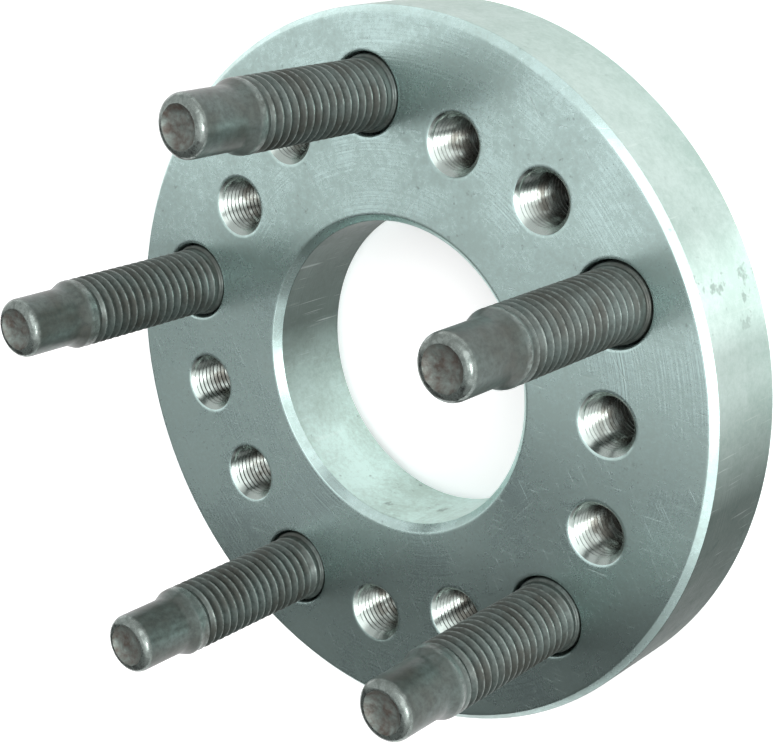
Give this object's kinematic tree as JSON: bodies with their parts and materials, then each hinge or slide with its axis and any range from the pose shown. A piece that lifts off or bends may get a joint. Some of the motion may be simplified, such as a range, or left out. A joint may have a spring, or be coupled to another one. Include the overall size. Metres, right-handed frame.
{
  "type": "wheel spacer",
  "caption": "Round aluminium wheel spacer plate with a centre bore, tapped holes on two bolt circles and pressed-in steel wheel studs with long pilot noses.",
  "frame": {"origin": "centre of the hub-side face, on the bore axis", "axes": "+Z along the bore axis towards the stud tips, +Y towards one of the studs"},
  "size_m": [0.165, 0.165, 0.0813],
  "materials": {
    "turned_aluminium": "satin, turned",
    "phosphated_steel": "dark phosphate"
  },
  "bodies": {
    "root": {"spacer_plate": "turned_aluminium", "wheel_stud_1": "phosphated_steel", "wheel_stud_2": "phosphated_steel", "wheel_stud_3": "phosphated_steel", "wheel_stud_4": "phosphated_steel", "wheel_stud_5": "phosphated_steel"}
  },
  "joints": []
}
